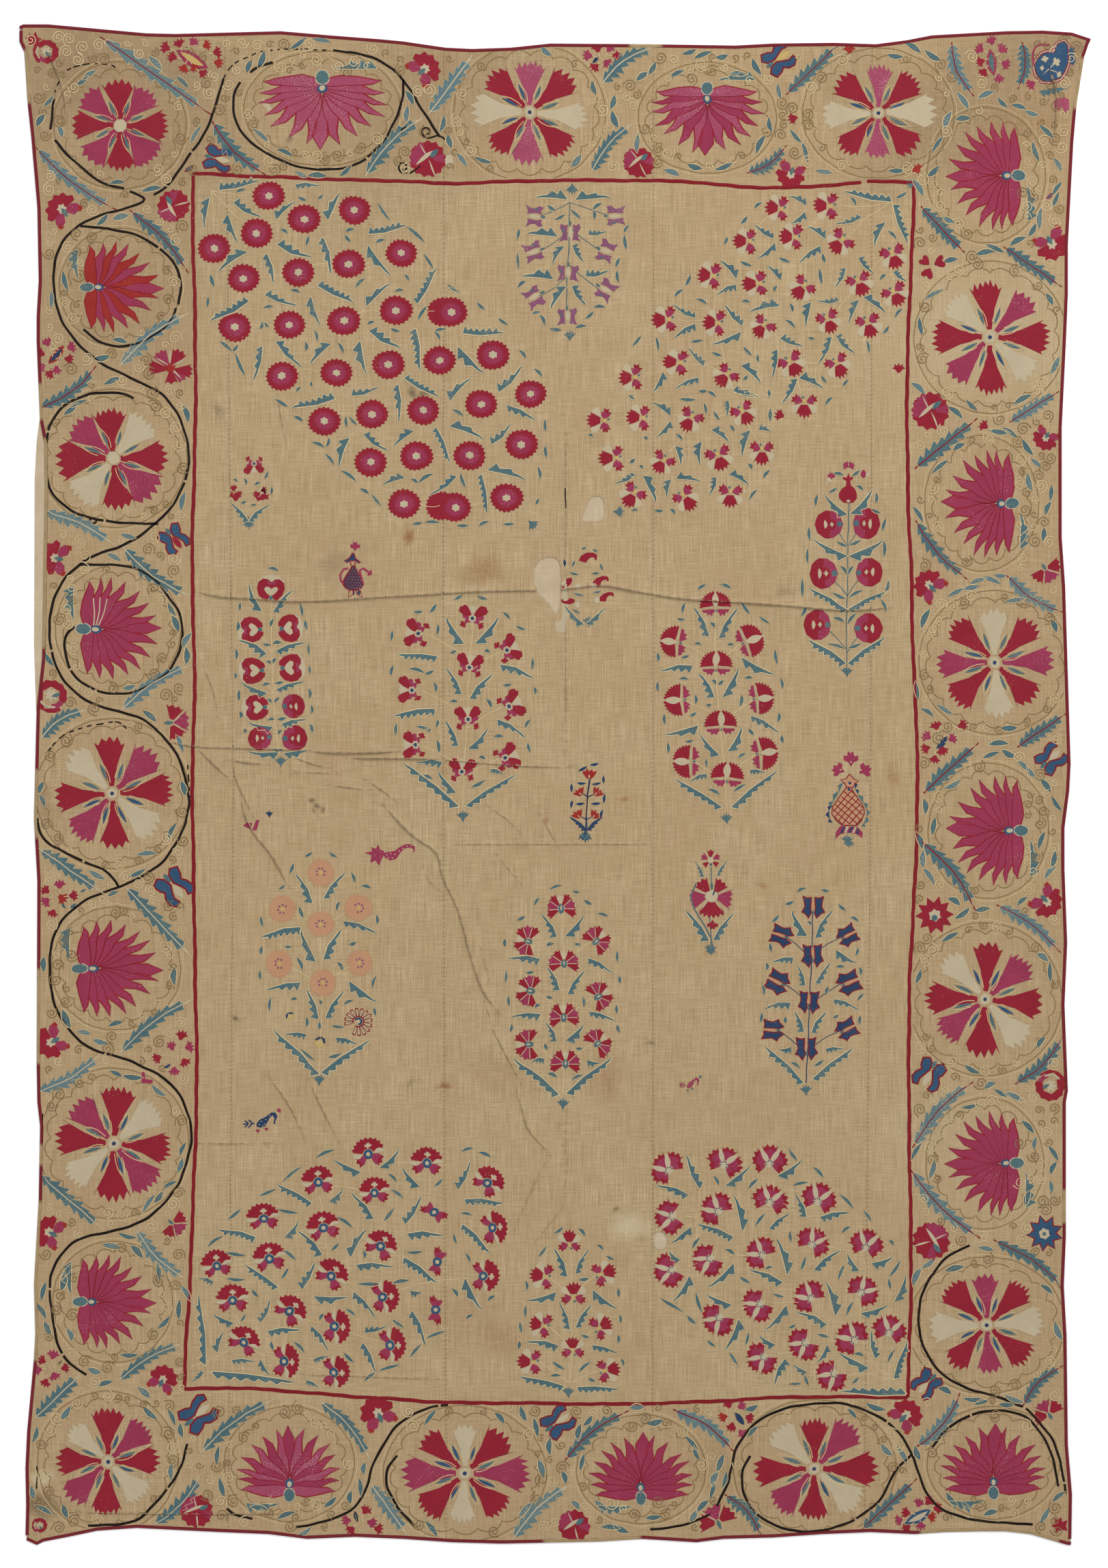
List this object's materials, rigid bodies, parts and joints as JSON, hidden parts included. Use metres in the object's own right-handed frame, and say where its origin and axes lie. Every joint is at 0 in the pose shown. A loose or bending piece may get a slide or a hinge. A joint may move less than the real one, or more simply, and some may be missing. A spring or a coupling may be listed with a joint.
{
  "type": "suzani embroidered textile",
  "caption": "Flat hand-embroidered cloth of narrow sewn strips on a full lining, bound with a thin red tape, with fold creases and small worn holes.",
  "frame": {"origin": "centre of the bounding box, on the underside of the lining, where the cloth lies on the surface", "axes": "+Z out of the embroidered face, +Y towards the top edge along the strips, +X towards the right edge as seen from the face"},
  "size_m": [1.678, 2.382, 0.0061],
  "materials": {
    "lining": "matte",
    "panel_1": "matte",
    "panel_2": "matte",
    "panel_3": "matte",
    "panel_4": "matte",
    "panel_5": "matte",
    "edging_top": "matte",
    "edging_right": "matte",
    "edging_bottom": "matte",
    "edging_left": "matte"
  },
  "bodies": {
    "root": {"lining": "lining", "panel_1": "panel_1", "panel_2": "panel_2", "panel_3": "panel_3", "panel_4": "panel_4", "panel_5": "panel_5", "edging_top": "edging_top", "edging_right": "edging_right", "edging_bottom": "edging_bottom", "edging_left": "edging_left"}
  },
  "joints": []
}
